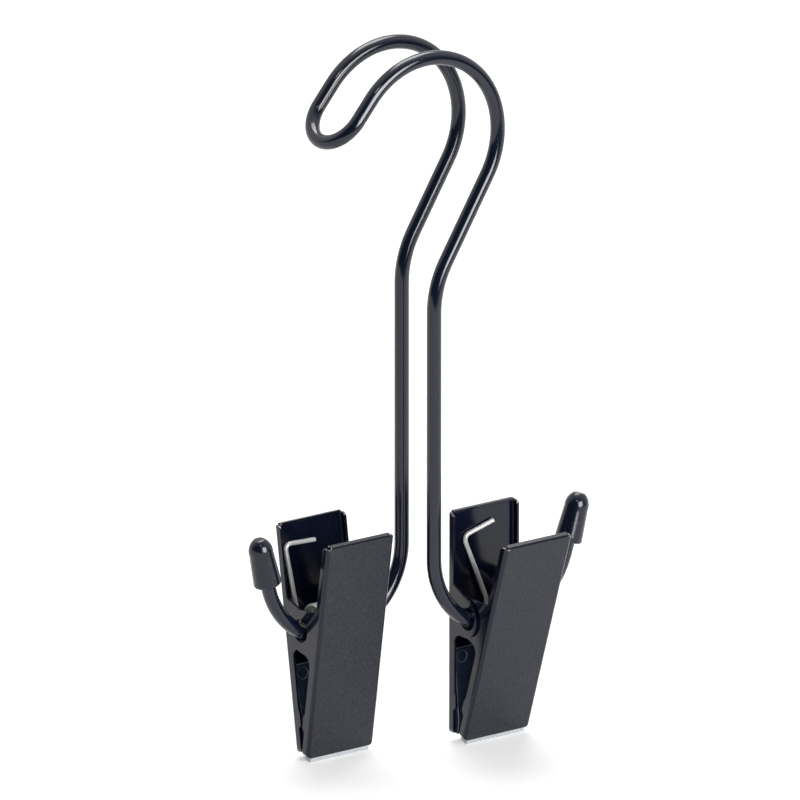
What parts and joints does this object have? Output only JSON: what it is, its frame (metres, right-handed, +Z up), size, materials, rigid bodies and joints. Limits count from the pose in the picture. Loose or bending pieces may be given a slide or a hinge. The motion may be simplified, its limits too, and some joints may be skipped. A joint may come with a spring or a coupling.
{
  "type": "clip hanger",
  "caption": "Clothes hanger of one folded black wire with a big hook, and a sprung, padded steel clip in each of its J-shaped ends for a skirt or a pair of boots.",
  "frame": {"origin": "the hook's seat: the inner top of the crook, midway between the two strands of wire", "axes": "+X from the left clip to the right clip, +Y from the front strand to the rear strand, +Z up"},
  "size_m": [0.1137, 0.0558, 0.2306],
  "materials": {
    "black_wire": "glossy black coating on a round steel wire",
    "cap_rubber": "satin black soft plastic",
    "black_plate": "black lacquer on pressed steel, satin on the faces",
    "zinc_spring": "bright zinc-plated spring wire",
    "clear_pad": "clear, slightly blue soft plastic"
  },
  "bodies": {
    "hook": {"hook_wire": "black_wire", "left_end_cap": "cap_rubber", "right_end_cap": "cap_rubber"},
    "left_rear": {"left_rear_plate": "black_plate", "left_rear_pad": "clear_pad", "left_spring": "zinc_spring"},
    "left_front": {"left_front_plate": "black_plate", "left_front_pad": "clear_pad"},
    "right_rear": {"right_rear_plate": "black_plate", "right_rear_pad": "clear_pad", "right_spring": "zinc_spring"},
    "right_front": {"right_front_plate": "black_plate", "right_front_pad": "clear_pad"}
  },
  "joints": [
    {"name": "left_clip_swing", "type": "hinge", "parent": "hook", "child": "left_rear", "pos_m": [-0.02015, 0.0104, -0.18311], "axis": [1, 0, 0], "continuous": true},
    {"name": "left_clip_open", "type": "hinge", "parent": "left_rear", "child": "left_front", "pos_m": [-0.02015, 0.0104, -0.18311], "axis": [-1, 0, 0], "range_deg": [0, 44], "stiffness_Nm_per_rad": 0.5, "springref_deg": -57.3, "deforming": ["left_spring"]},
    {"name": "right_clip_swing", "type": "hinge", "parent": "hook", "child": "right_rear", "pos_m": [0.02874, -0.0104, -0.18311], "axis": [1, 0, 0], "continuous": true},
    {"name": "right_clip_open", "type": "hinge", "parent": "right_rear", "child": "right_front", "pos_m": [0.02874, -0.0104, -0.18311], "axis": [-1, 0, 0], "range_deg": [0, 44], "stiffness_Nm_per_rad": 0.5, "springref_deg": -57.3, "deforming": ["right_spring"]}
  ]
}
